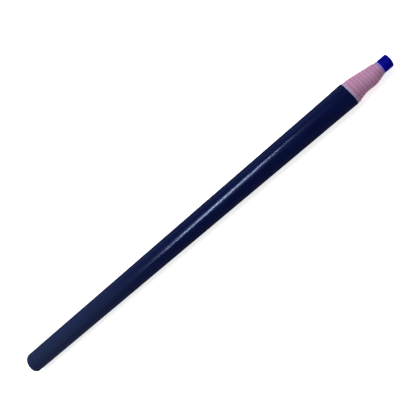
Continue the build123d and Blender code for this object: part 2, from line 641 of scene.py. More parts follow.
class ShaderKit:
    """Shader node groups that more than one finish uses, each built once."""

    STREAK_DETAIL = 3.0
    SHADE_SPAN = (0.33, 0.67)
    PATCH_DETAIL = 4.0
    PATCH_ROUGHNESS = 0.65
    RIM_SPAN = (0.15, 0.6)
    SCUFF_SPAN = (0.68, 0.78)
    SPECK_SCALE = 2600.0
    SPECK_DETAIL = 3.0
    NEAR_SHARE = 0.4
    FILM_SPAN = (0.62, 0.95)
    FILM_FADE = 0.5

    def __init__(self) -> None:
        """Builds the groups."""
        self.grain = self.build_grain()
        self.wear = self.build_wear()
        self.dust = self.build_dust()

    def build_grain(self) -> bpy.types.NodeTree:
        """Fibre grain of paper or thread: long soft streaks over a fine speckle.

        Returns:
            The group, with a Shade from 0 to 1 and a Height.
        """
        group = FinishGroup("fibre grain", {
            "Streak Scale": 500.0, "Speckle Scale": 4000.0, "Speckle Share": 0.4}, ("Shade", "Height"))
        place, share = group.given["Vector"], group.given["Speckle Share"]
        streak = group.noise(place, group.given["Streak Scale"], self.STREAK_DETAIL)
        speckle = group.noise(place, group.given["Speckle Scale"])
        height = speckle * share + streak * (1.0 - share)
        return group.close(Shade=group.remap(height, self.SHADE_SPAN), Height=height)

    def build_wear(self) -> bpy.types.NodeTree:
        """Wear that starts at cut edges and breaks up unevenly, with stray scuffs.

        Returns:
            The group, with a Mask from 0 to 1.
        """
        group = FinishGroup("edge wear", {
            "Edge": 0.0, "Patch Scale": 900.0, "Reach": 0.5, "Scuffs": 0.1}, ("Mask",))
        reach = group.given["Reach"]
        patch = group.noise(group.given["Vector"], group.given["Patch Scale"], self.PATCH_DETAIL,
                            self.PATCH_ROUGHNESS)
        worn = patch * reach + group.given["Edge"]
        rim = group.remap(worn, (reach + self.RIM_SPAN[0], reach + self.RIM_SPAN[1]))
        stray = group.remap(patch, self.SCUFF_SPAN) * group.given["Scuffs"]
        return group.close(Mask=group.math("MAXIMUM", rim, stray))

    def build_dust(self) -> bpy.types.NodeTree:
        """Chalk worn off the core: thick beside it, thinning to specks along the pencil.

        Returns:
            The group, with a Mask from 0 to 1.
        """
        group = FinishGroup("chalk dust", {"Source X": 0.0, "Reach": 0.004, "Amount": 0.5}, ("Mask",))
        place = group.given["Vector"]
        away = group.math("ABSOLUTE", group.given["Source X"] - group.split(place)[0])
        near = group.math("SUBTRACT", 1.0, away / group.given["Reach"], clamp=True)
        specks = group.noise(place, self.SPECK_SCALE, self.SPECK_DETAIL)
        film = group.remap(near * self.NEAR_SHARE + specks, self.FILM_SPAN) * group.given["Amount"]
        return group.close(Mask=film * group.math("POWER", near, self.FILM_FADE))


@dataclass(frozen=True)
class Grain:
    """Fibre grain of a finish: its stretch along and across the pencil, and its scales."""

    along: float
    across: float
    streak_scale: float
    speckle_scale: float
    speckle_share: float = 0.4


@dataclass(frozen=True)
class Wear:
    """Wear of a finish: the scale of its patches, its reach from an edge, and its scuffs."""

    patch_scale: float
    reach: float
    scuffs: float


@dataclass(frozen=True)
class Finish:
    """What the finishes share: the shader groups, the pencil's sizes, and the ways to use them."""

    kit: ShaderKit
    form: PencilForm

    def grained(self, surface: Surface, grain: Grain) -> dict[str, Value]:
        """Lays grain on a surface.

        Args:
            surface: the material's nodes.
            grain: what the grain is like.

        Returns:
            Its Shade and its Height, by name.
        """
        return surface.group(
            self.kit.grain, Vector=surface.stretched(self.form, grain.along, grain.across),
            Streak_Scale=grain.streak_scale, Speckle_Scale=grain.speckle_scale,
            Speckle_Share=grain.speckle_share)

    def worn(self, surface: Surface, wear: Wear, edge: Value) -> Value:
        """Wears a surface from its edges inwards and returns the mask."""
        return surface.group(self.kit.wear, Vector=surface.place, Edge=edge, Reach=wear.reach,
                             Patch_Scale=wear.patch_scale, Scuffs=wear.scuffs)["Mask"]

    def dusted(self, surface: Surface, x: float, reach: float, amount: float) -> Value:
        """Dusts a surface on both sides of a place along it and returns the mask."""
        return surface.group(self.kit.dust, Vector=surface.place, Source_X=x * MM, Reach=reach * MM,
                             Amount=amount)["Mask"]


@dataclass(frozen=True)
class NavySleevePaper(Finish):
    """Smooth coated paper in navy, the pale sheet showing at cut and worn edges, with painted light
    towards the tail.
    """

    navy: tuple = (0.0022, 0.0065, 0.0540, 1.0)
    deep_navy: tuple = (0.0010, 0.0036, 0.0400, 1.0)
    # Painted light: a paler navy that lightens the sleeve's tail half
    painted_light_navy: tuple = (0.0125, 0.0215, 0.0720, 1.0)
    painted_light_span: tuple = (-78.0, 10.0)
    painted_light_blur: float = 4.0
    bare_sheet: tuple = (0.16, 0.17, 0.24, 1.0)
    grain: Grain = Grain(0.22, 1.0, 420.0, 5200.0)
    wear: Wear = Wear(1500.0, 0.55, 0.10)
    roughness: float = 0.5
    coat: float = 0.045
    coat_roughness: float = 0.17
    grain_depth: float = 0.0015
    grain_strength: float = 0.35

    def build(self) -> bpy.types.Material:
        """Makes the material.

        Returns:
            The material.
        """
        surface = Surface("navy sleeve paper")
        grain = self.grained(surface, self.grain)
        worn = self.worn(surface, self.wear, surface.mark(Mark.CUT_EDGE))
        x = surface.split(surface.place)[0]
        low, high = self.painted_light_span
        # Painted light: the navy pales from x = 10 mm back to x = -78 mm, and stays pale behind that
        painted_light = surface.remap(grain["Shade"] * (self.painted_light_blur * MM) + x,
                                (low * MM, high * MM), (1.0, 0.0))
        colour = surface.layers(self.deep_navy, (grain["Shade"], self.navy),
                                (painted_light, self.painted_light_navy), (worn, self.bare_sheet))
        return surface.finish(
            Base_Color=colour, Roughness=self.roughness, Specular_IOR_Level=0.0,
            Coat_Weight=(1.0 - worn) * self.coat, Coat_Roughness=self.coat_roughness,
            Normal=surface.bump(grain["Height"], self.grain_depth, self.grain_strength))


@dataclass(frozen=True)
class PinkStripPaper(Finish):
    """Soft uncoated pink paper, paler at torn edges, with painted shade below ply edges and chalk smeared
    by the core.
    """

    pink: tuple = (0.55, 0.242, 0.405, 1.0)
    rose: tuple = (0.41, 0.156, 0.280, 1.0)
    pale_edge: tuple = (0.68, 0.43, 0.58, 1.0)
    # Painted shade, darkening the paper at the foot of each ply edge
    painted_foot_shade: tuple = (0.28, 0.105, 0.185, 1.0)
    lilac: tuple = (0.40, 0.31, 0.47, 1.0)
    chalk: tuple = (0.16, 0.15, 0.50, 1.0)
    roughness: float = 0.85
    specular: float = 0.15
    grain: Grain = Grain(3.2, 0.8, 1500.0, 9000.0, 0.35)
    blotches: Grain = Grain(1.6, 0.9, 620.0, 1500.0)
    blotch_share: float = 0.55
    wear: Wear = Wear(2200.0, 0.45, 0.25)
    torn_span: tuple = (0.82, 1.0)
    smear_reach: float = 3.0
    smear_amount: float = 0.40
    inner_band_share: float = 0.7
    band_span: tuple = (0.3825, 1.275)
    band_noise_scale: float = 1600.0
    band_noise: float = 0.5
    # Where the painted shade at each ply's foot lies, and how the blotches break it up
    foot_span: tuple = (0.04, 0.34)
    foot_lowest: float = -0.02
    foot_blotch_span: tuple = (0.30, 0.70)
    foot_blotch_shares: tuple = (0.55, 1.0)
    ply: float = 0.12
    line_span: tuple = (0.36, 0.5)
    grain_depth: float = 0.02
    grain_strength: float = 0.6

    def build(self) -> bpy.types.Material:
        """Makes the material.

        Returns:
            The material.
        """
        surface = Surface("pink strip paper")
        grain = self.grained(surface, self.grain)
        blotches = self.grained(surface, self.blotches)["Shade"]
        shade = blotches * self.blotch_share + grain["Shade"] * (1.0 - self.blotch_share)
        lip = surface.remap(surface.mark(Mark.PLY_STEP), self.torn_span)
        torn = self.worn(surface, self.wear, lip)
        smear = self.dusted(surface, self.form.junction_x, self.smear_reach, self.smear_amount)
        colour = surface.layers(
            self.rose, (shade, self.pink), (self.mouth_band(surface), self.lilac),
            (self.painted_foot_shades(surface, blotches), self.painted_foot_shade), (torn, self.pale_edge),
            (self.tail_lines(surface), self.rose), (smear, self.chalk),
            (surface.mark(Mark.INNER_BAND) * self.inner_band_share, self.chalk))
        return surface.finish(
            Base_Color=colour, Roughness=self.roughness, Specular_IOR_Level=self.specular,
            Normal=surface.bump(grain["Height"], self.grain_depth, self.grain_strength))

    def mouth_band(self, surface: Surface) -> Value:
        """Mask of the worn outer ply that shows past the sleeve's mouth and soon fades out.

        Args:
            surface: the material's nodes.

        Returns:
            The mask, one inside the sleeve.
        """
        x, y, up = surface.from_axis(self.form)
        slope, side = tan(radians(self.form.mouth_skew)), radians(self.form.full_side)
        lean = up * (slope * sin(side)) + y * (slope * cos(side))
        past = x - self.form.mouth_x * MM - lean
        past = surface.noise(surface.place, self.band_noise_scale) * (self.band_noise * MM) + past
        return surface.remap(past, (self.band_span[0] * MM, self.band_span[1] * MM), (1.0, 0.0))

    def painted_foot_shades(self, surface: Surface, blotches: Value) -> Value:
        """Mask of painted shade at the foot below each torn ply edge.

        Args:
            surface: the material's nodes.
            blotches: the paper's blotches, from 0 to 1, which break the foot up.

        Returns:
            The mask.
        """
        step = surface.mark(Mark.PLY_STEP)
        foot = surface.remap(step, self.foot_span, (1.0, 0.0))
        foot = foot * surface.math("GREATER_THAN", step, self.foot_lowest)
        return foot * surface.remap(blotches, self.foot_blotch_span, self.foot_blotch_shares)

    def tail_lines(self, surface: Surface) -> Value:
        """Mask of the spiral lines between the plies on the cut tail.

        Args:
            surface: the material's nodes.

        Returns:
            The mask, nothing away from the tail.
        """
        _, y, up = surface.from_axis(self.form)
        radius = surface.math("SQRT", up * up + y * y)
        turns = surface.math("ARCTAN2", up, y) / (2 * pi)
        ply = surface.math("FRACT", radius / (self.ply * MM) + turns)
        line = surface.remap(surface.math("ABSOLUTE", ply - 0.5), self.line_span)
        return line * surface.mark(Mark.TAIL_FACE)


@dataclass(frozen=True)
class BlueChalk(Finish):
    """Waxy blue chalk, with painted shade on its rounded tip and towards the tip, and dusty where it has
    marked.
    """

    blue: tuple = (0.0014, 0.0018, 0.54, 1.0)
    deep_blue: tuple = (0.0012, 0.0014, 0.12, 1.0)
    dusty: tuple = (0.006, 0.008, 0.55, 1.0)
    # Painted shade on the rounded tip edge and the tip face, and a little on the tail's cut
    painted_edge_shade_share: float = 0.75
    # Painted shade that darkens the rod over its last 2 mm towards the tip
    painted_tip_shade_span: tuple = (2.0, 0.3)
    painted_tip_shade_share: float = 0.42
    dusty_share: float = 0.3
    grain: Grain = Grain(0.5, 1.4, 900.0, 5000.0)
    wear: Wear = Wear(1200.0, 0.5, 0.35)
    roughness_span: tuple = (0.55, 0.67)
    specular: float = 0.006
    grain_depth: float = 0.02
    grain_strength: float = 0.5

    def build(self) -> bpy.types.Material:
        """Makes the material.

        Returns:
            The material.
        """
        surface = Surface("blue chalk")
        grain = self.grained(surface, self.grain)
        edge = surface.mark(Mark.CUT_EDGE)
        worn = self.worn(surface, self.wear, edge)
        x = surface.split(surface.place)[0]
        # Painted shade: the rod darkens towards the tip, and on its rounded edge and tip face
        start, end = ((self.form.tip_x - back) * MM for back in self.painted_tip_shade_span)
        painted_tip_shade = surface.remap(x, (start, end), (0.0, self.painted_tip_shade_share))
        colour = surface.layers(
            self.deep_blue, (grain["Shade"], self.blue), (edge * self.painted_edge_shade_share, self.deep_blue),
            (painted_tip_shade, self.deep_blue), (worn * self.dusty_share, self.dusty))
        return surface.finish(
            Base_Color=colour, Specular_IOR_Level=self.specular,
            Roughness=surface.remap(grain["Shade"], (0.0, 1.0), self.roughness_span),
            Normal=surface.bump(grain["Height"], self.grain_depth, self.grain_strength))


@dataclass(frozen=True)
class CottonThread(Finish):
    """Undyed twisted thread, a little dusty with wax."""

    cotton: tuple = (0.80, 0.77, 0.70, 1.0)
    shade: tuple = (0.52, 0.48, 0.42, 1.0)
    fibre_scale: float = 4200.0
    speckle_scale: float = 14000.0
    dust_reach: float = 4.0
    dust_amount: float = 0.3
    roughness: float = 0.9
    grain_depth: float = 0.01
    grain_strength: float = 0.5

    def build(self) -> bpy.types.Material:
        """Makes the material.

        Returns:
            The material.
        """
        surface = Surface("cotton thread")
        grain = surface.group(self.kit.grain, Vector=surface.place, Streak_Scale=self.fibre_scale,
                              Speckle_Scale=self.speckle_scale)
        dust = self.dusted(surface, self.form.mouth_x, self.dust_reach, self.dust_amount)
        return surface.finish(
            Base_Color=surface.layers(self.shade, (grain["Shade"], self.cotton), (dust, self.shade)),
            Roughness=self.roughness,
            Normal=surface.bump(grain["Height"], self.grain_depth, self.grain_strength))


@dataclass
class SleeveJacket:
    """The coated paper sleeve: a thin wall, lapped and pressed flat along the underside."""

    form: PencilForm
    columns: int = 168
    column_gap: float = 0.6
    free_edge_pair: float = 0.25
    flat_pair: float = 0.4
    rows: int = 230
    end_crowding: float = 0.42
    edge_rows: int = 5
    edge_step: float = 0.004
    lining_shares: tuple = (0.0, 0.02, 0.5, 0.98, 1.0)
    lining_setback: float = 0.01
    flat_reach: float = 60.0
    free_edge_dip: float = 0.06
    free_edge_fade: float = 16.0
    string_ridge: float = 0.02
    string_ridge_width: float = 5.0
    ripples: tuple = ((0.010, 14.0, 1.6), (0.004, 3.0, 3.0))
    mouth_lift: float = 0.03
    mouth_lift_reach: float = 0.7
    mouth_lift_waves: tuple = (5.0, 2.0)
    mouth_flare: float = 0.11
    mouth_flare_reach: float = 6.0
    mouth_flare_angle: float = 30.0
    mouth_raggedness: float = 0.05
    mouth_waves: tuple = ((0.7, 9.0, 1.7), (0.3, 3.0, 7.0))
    mouth_wave_level: float = 0.4
    mouth_bevel: float = 0.02
    lining_wear: float = 0.2
    tail_wear_span: tuple = (1.0, 0.45)
    end_wear: float = 0.6
    end_wear_reach: float = 0.5
    weld_gap: float = 1e-7
    crease_angle: float = 32.0

    @property
    def free_edge_angle(self) -> float:
        """Angle of the sheet's free edge at the end of the lap."""
        return self.form.lap_angle + self.form.lap_half

    def angles(self) -> list[float]:
        """Angles of the columns, with pairs close together at the free edge and the flat.

        Returns:
            The angles in order.
        """
        half = degrees(acos(self.form.axis_height / self.form.radius))
        lap = self.form.lap_angle
        edges = ((self.free_edge_angle, self.free_edge_pair), (lap - half, self.flat_pair),
                 (lap + half, self.flat_pair))
        pairs = [edge + lean for edge, pair in edges for lean in (-pair, pair)]
        even = [FULL_TURN * i / self.columns - FULL_TURN / 2 for i in range(self.columns)]
        kept = [a for a in even if min(abs(angle_between(a, b)) for b in pairs) > self.column_gap]
        return sorted(kept + pairs)

    def outer_radius(self, x: float, angle: float) -> float:
        """Radius of the outside at a place.

        Args:
            x: place along the pencil.
            angle: angle of the place.

        Returns:
            The radius.
        """
        radius = self.form.radius
        for depth, length, spread in self.ripples:
            radius += depth * uneven(x / length, spread, angle)
        past_edge = angle_between(angle, self.free_edge_angle)
        if past_edge > 0:
            radius -= self.free_edge_dip * kept_share(1 - past_edge / self.free_edge_fade) ** 2
        off_string = angle_between(angle, self.form.string_angle) / self.string_ridge_width
        radius += self.string_ridge * exp(-off_string * off_string)
        inside = max(self.form.mouth_at(angle) - x, 0.0)
        lift = 0.5 + 0.5 * uneven(*self.mouth_lift_waves, angle)
        radius += self.mouth_lift * lift * exp(-inside / self.mouth_lift_reach)
        facing = max(0.0, cos(radians(angle_between(angle, self.mouth_flare_angle))))
        radius += self.mouth_flare * facing * exp(-inside / self.mouth_flare_reach)
        off_flat = abs(angle_between(angle, self.form.lap_angle))
        if off_flat < self.flat_reach:
            radius = min(radius, self.form.axis_height / cos(radians(off_flat)))
        return radius

    def inner_radius(self, angle: float) -> float:
        """Radius of the inside, smaller where the lap doubles the wall."""
        doubled = abs(angle_between(angle, self.form.lap_angle)) < self.form.lap_half
        return self.form.radius - self.form.sleeve_wall * (2 if doubled else 1)

    def mouth_edge(self, angle: float) -> float:
        """X of the mouth's cut edge at an angle, a little uneven."""
        waves = sum(share * uneven(along, spread, angle) for share, along, spread in self.mouth_waves)
        return self.form.mouth_at(angle) + self.mouth_raggedness * (waves - self.mouth_wave_level)

    def wall_start(self, angle: float) -> float:
        """X where the outside begins, past the tail's rounding."""
        return self.form.tail_at(self.form.radius, angle) + self.form.tail_rounding

    def lining(self, share: float, angle: float) -> tuple[float, float]:
        """X and radius of the inside, from the mouth back to the tail."""
        inner, start = self.inner_radius(angle), self.mouth_edge(angle) - self.lining_setback
        return between(start, self.form.tail_at(inner, angle), share), inner

    def tail_edge(self, row: int, angle: float) -> tuple[float, float]:
        """X and radius of the tail's cut edge, from the inside round to the outside.

        Args:
            row: number of the ring, counted from the inside.
            angle: angle of the place.

        Returns:
            The place's x and its radius.
        """
        rounding, lean = self.form.tail_rounding, pi / 2 * row / self.edge_rows
        outer = self.outer_radius(self.wall_start(angle), angle)
        radius = max(outer - rounding + rounding * sin(lean),
                     self.inner_radius(angle) + self.edge_step * (row + 1))
        return self.form.tail_at(radius, angle) + rounding * (1 - cos(lean)), radius

    def row_share(self, row: int) -> float:
        """Share of the sleeve's length at a ring, with closer rings at both ends."""
        share = row / self.rows
        return share - self.end_crowding * sin(2 * pi * share) / (2 * pi)

    def outside(self, row: int, angle: float) -> tuple[float, float]:
        """X and radius of the outside, from the tail to the mouth."""
        end = self.mouth_edge(angle) - self.mouth_bevel
        return self.on_outside(between(self.wall_start(angle), end, self.row_share(row)), angle)

    def on_outside(self, x: float, angle: float, depth: float = 0.0) -> tuple[float, float]:
        """A place's x and the radius of the outside there, less a depth."""
        return x, self.outer_radius(x, angle) - depth

    def build_mesh(self) -> bpy.types.Mesh:
        """Weaves the inside, the tail's edge, the outside and the mouth's edge.

        Returns:
            The closed mesh.
        """
        skin = RingSkin(self.form, self.angles())
        for share in self.lining_shares:
            at_end = share in (self.lining_shares[0], self.lining_shares[-1])
            skin.add(partial(self.lining, share), cut_edge=1.0 if at_end else self.lining_wear)
        for row in range(self.edge_rows + 1):
            skin.add(partial(self.tail_edge, row),
                     cut_edge=between(*self.tail_wear_span, row / self.edge_rows))
        for row in range(1, self.rows + 1):
            share = self.row_share(row)
            from_end = min(share, 1 - share) * (self.form.mouth_x - self.form.tail_x)
            skin.add(partial(self.outside, row),
                     cut_edge=kept_share(1 - from_end / self.end_wear_reach) * self.end_wear)
        skin.add(lambda a: self.on_outside(self.mouth_edge(a), a, self.mouth_bevel), cut_edge=1.0)
        skin.add(lambda a: (self.mouth_edge(a), self.inner_radius(a) + self.mouth_bevel), cut_edge=1.0)
        mesh = skin.to_mesh("sleeve_jacket", closed_round=True, closed_profile=True)
        return weld(mesh, self.weld_gap, self.crease_angle)


@dataclass
class PaperStrip:
    """The wound paper strip, with its front peeled to a cone whose ply edges climb as a helix."""

    form: PencilForm
    columns: int = 180
    turns: int = 10
    ply_edge: float = 0.14
    inner_ply: float = 0.12
    outer_band: float = 0.70
    inner_band: float = 0.52
    start_angle: float = -60.0
    tail_shares: tuple = (0.0, 0.18, 0.82)
    tail_setback: float = 0.02
    tail_unevenness: float = 0.02
    tail_spreads: tuple = (2.0, 1.5)
    groove_depth: float = 0.03
    groove_share: float = 0.1
    hidden_reach: float = 0.8
    hidden_shares: tuple = (0.02, 0.25, 0.5, 0.75, 1.0)
    band_shares: tuple = (0.25, 0.5, 0.75, 0.96)
    ramp_shares: tuple = (0.12, 0.35, 0.60, 0.82, 0.955)
    inner_shares: tuple = (0.3, 0.65)
    bore_shares: tuple = (0.0, 0.33, 0.66)
    front_bevel: float = 0.03
    station_shares: tuple = (0.00, 0.10, 0.19, 0.29, 0.40, 0.50, 0.61, 0.70, 0.80, 0.90, 1.00)
    straight_side_shares: tuple = (1.00, 1.00, 0.92, 0.81, 0.70, 0.58, 0.46, 0.36, 0.27, 0.16, 0.00)
    full_side_shares: tuple = (0.96, 0.86, 0.70, 0.56, 0.50, 0.50, 0.55, 0.51, 0.38, 0.18, 0.00)
    fray: float = 0.085
    fray_scale: float = 1400.0
    fray_detail: float = 4.0
    lip_sharpness: float = 6.0
    pucker: float = 0.028
    pucker_scale: float = 420.0
    fibre_length: float = 0.16
    fibre_width: float = 0.012
    fibre_density: float = 26.0
    fibre_sides: int = 3
    fibre_pieces: int = 4
    fibre_bend: tuple = ((0.0, -0.1), (0.0, 0.4), (0.2, 0.7), (0.75, 0.75))
    fibre_sizes: tuple = (0.35, 1.0)
    fibre_torn_from: float = 0.45
    fibre_clearance: float = 0.32
    seed: int = 4
    weld_gap: float = 2e-7
    crease_angle: float = 30.0

    @property
    def bore(self) -> float:
        """Radius of the bore round the core."""
        return self.form.core_radius + self.form.fit_gap

    @property
    def stair_start(self) -> float:
        """X of the first ply edge where the helix begins."""
        return self.form.mouth_x + self.outer_band

    @property
    def stair_end(self) -> float:
        """X of the last ply edge where the helix ends."""
        return self.form.junction_x - self.inner_band

    def helix(self, turns: float, angle: float) -> float:
        """X of the helix at an angle, after a number of turns."""
        pitch = (self.stair_end - self.stair_start) / self.turns
        return self.stair_start + pitch * (turns + (angle - self.start_angle) / FULL_TURN)

    def tail_cut(self, radius: float, angle: float) -> tuple[float, float]:
        """X and radius of the cut tail, where each ply stands back a little unevenly.

        Args:
            radius: distance from the axis.
            angle: angle of the place.

        Returns:
            The place's x and its radius.
        """
        ply = (radius - self.bore) / self.inner_ply + angle / FULL_TURN
        depth = self.groove_depth if abs(ply - round(ply)) < self.groove_share else 0.0
        along, spread = self.tail_spreads
        depth += self.tail_setback + self.tail_unevenness * uneven(radius * along, spread, angle)
        return self.form.tail_at(radius, angle) + depth, radius

    def blank(self) -> bpy.types.Mesh:
        """The strip before peeling: a plain tube whose front rings run as a helix.

        Returns:
            The open sheet, with how far up its ply each point lies.
        """
        form, wrap, bore, helix = self.form, self.form.wrap_radius, self.bore, self.helix
        inner = bore + self.inner_ply
        skin = RingSkin(form, [self.start_angle + FULL_TURN * (i / self.columns)
                               for i in range(self.columns + 1)])
        plies = round((wrap - bore) / self.inner_ply)
        for ply in range(plies):
            for share in self.tail_shares:
                radius = bore + (wrap - bore) / plies * (ply + share)
                skin.add(partial(self.tail_cut, radius), tail_face=1.0)
        skin.add(partial(self.tail_cut, wrap), tail_face=1.0)
        hidden = form.mouth_x - self.hidden_reach
        for share in self.hidden_shares:
            skin.add(lambda a: (between(form.tail_x, hidden, share), wrap))
        for share in self.band_shares:
            skin.add(lambda a: (between(hidden, helix(0, a), share), wrap))
        for turn in range(self.turns - 1):
            skin.add(lambda a: (helix(turn, a), wrap), ply_step=1.0)
            for share in (0.0, *self.ramp_shares):
                skin.add(lambda a: (helix(turn + share, a), wrap), ply_step=share)
        last = self.turns - 1
        skin.add(lambda a: (helix(last, a), wrap), ply_step=1.0)
        skin.add(lambda a: (helix(last, a), inner))
        for share in self.inner_shares:
            skin.add(lambda a: (between(helix(last, a), form.junction_x, share), inner), inner_band=share)
        skin.add(lambda a: (form.junction_x - self.front_bevel, inner), inner_band=1.0)
        skin.add(lambda a: (form.junction_x, inner - self.front_bevel), inner_band=1.0)
        for share in self.bore_shares:
            skin.add(lambda a: (between(form.junction_x, form.tail_x, share), bore),
                     inner_band=1.0 if share == 0.0 else 0.0)
        return skin.to_mesh("paper_strip", closed_round=False, closed_profile=True)

    def share_curve(self, tree: PieceTree, place: Value, shares: tuple) -> Value:
        """A smooth curve through the outline's shares.

        Args:
            tree: the tree that it is part of.
            place: the place along the cone, from 0 to 1.
            shares: heights at the stations.

        Returns:
            The height share at the place.
        """
        made = tree.node("ShaderNodeFloatCurve", {"Value": place})
        points = made.mapping.curves[0].points
        places = list(zip(self.station_shares, shares))
        points[0].location, points[1].location = places[0], places[-1]
        for station, share in places[1:-1]:
            points.new(station, share)
        made.mapping.update()
        return Value(tree, made.outputs[0])

    def peel_tree(self) -> bpy.types.NodeTree:
        """Peels the blank's front to a stair of ply edges and roughens them.

        Returns:
            The Geometry Nodes tree.
        """
        tree = PieceTree("peel to a stair", dict.fromkeys((
            "Start", "End", "Axis Height", "Inner Radius", "Foot Radius", "Ply Edge", "Full Side",
            "Fray", "Pucker"), 0.0))
        given, step = tree.given, tree.mark(Mark.PLY_STEP)
        position = tree.out("GeometryNodeInputPosition")
        x, y, z = tree.split(position)
        angle = tree.math("ARCTAN2", z - given["Axis Height"], y)
        place = tree.math("DIVIDE", x - given["Start"], given["End"] - given["Start"], clamp=True)
        straight = self.share_curve(tree, place, self.straight_side_shares)
        full = self.share_curve(tree, place, self.full_side_shares)
        facing = tree.math("COSINE", angle - given["Full Side"])
        share = (full - straight) * 0.5 * facing + (straight + full) * 0.5
        cone = share * (given["Foot Radius"] - given["Inner Radius"]) + given["Inner Radius"]
        dent = (tree.noise(position, self.pucker_scale) - 0.5) * given["Pucker"] * step * 2.0
        radius = step * given["Ply Edge"] + cone + dent
        torn = (tree.noise(position, self.fray_scale, self.fray_detail) - 0.5) * given["Fray"] * 2.0
        torn = torn * tree.math("POWER", step, self.lip_sharpness)
        peeled = tree.out("GeometryNodeSetPosition", {
            "Geometry": given["Geometry"],
            "Selection": tree.math("GREATER_THAN", step, UNPEELED / 2),
            "Position": tree.combine(
                x + torn, radius * tree.math("COSINE", angle),
                radius * tree.math("SINE", angle) + given["Axis Height"])})
        return tree.finish(peeled)

    def fibre_tree(self) -> bpy.types.NodeTree:
        """Scatters short loose fibres along the torn ply edges.

        Returns:
            The Geometry Nodes tree, whose result is the fibres alone.
        """
        tree = PieceTree("fibres on torn edges", {
            "Length": 0.0, "Width": 0.0, "Density": 0.0, "Lowest": 0.0, "Seed": 0})
        given = tree.given
        length, seed = given["Length"], given["Seed"]
        height = tree.split(tree.out("GeometryNodeInputPosition"))[2]
        torn = tree.math("GREATER_THAN", tree.mark(Mark.PLY_STEP), self.fibre_torn_from)
        spread = tree.node("GeometryNodeDistributePointsOnFaces", {
            "Mesh": given["Geometry"], "Seed": seed, "Density": given["Density"] / (MM * MM),
            "Selection": torn * tree.math("GREATER_THAN", height, given["Lowest"]),
        }, distribute_method="RANDOM")
        bend = {name: tree.combine(length * across, 0.0, length * up) for name, (across, up) in zip(
            ("Start", "Start Handle", "End Handle", "End"), self.fibre_bend)}
        line = tree.out("GeometryNodeCurvePrimitiveBezierSegment",
                        {"Resolution": self.fibre_pieces, **bend}, mode="POSITION")
        spin = tree.out("FunctionNodeAxisAngleToRotation", {
            "Axis": (0.0, 0.0, 1.0), "Angle": tree.random((-pi, pi), seed + 1)})
        facing = Value(tree, spread.outputs["Rotation"])
        turned = tree.out("FunctionNodeRotateRotation", {0: facing, 1: spin}, rotation_space="LOCAL")
        return tree.finish(tree.out("GeometryNodeInstanceOnPoints", {
            "Points": Value(tree, spread.outputs["Points"]), "Rotation": turned,
            "Scale": tree.random(self.fibre_sizes, seed + 2),
            "Instance": tree.sweep(line, self.fibre_sides, given["Width"] * 0.5)}))

    def build_mesh(self, material: bpy.types.Material) -> bpy.types.Mesh:
        """Peels the blank, welds it and adds the loose fibres.

        Args:
            material: finish of the strip.

        Returns:
            The finished mesh.
        """
        form = self.form
        peeled = run_tree(self.blank(), self.peel_tree(), {
            "Start": self.stair_start * MM, "End": self.stair_end * MM,
            "Axis Height": form.axis_height * MM, "Inner Radius": (self.bore + self.inner_ply) * MM,
            "Foot Radius": (form.wrap_radius - self.ply_edge) * MM, "Ply Edge": self.ply_edge * MM,
            "Full Side": radians(form.full_side), "Fray": self.fray * MM,
            "Pucker": self.pucker * MM, "Material": material})
        weld(peeled, self.weld_gap, self.crease_angle)
        fibres = run_tree(peeled.copy(), self.fibre_tree(), {
            "Length": self.fibre_length * MM, "Width": self.fibre_width * MM, "Seed": self.seed,
            "Density": self.fibre_density, "Lowest": self.fibre_clearance * MM, "Material": material})
        return join_meshes(peeled, fibres)


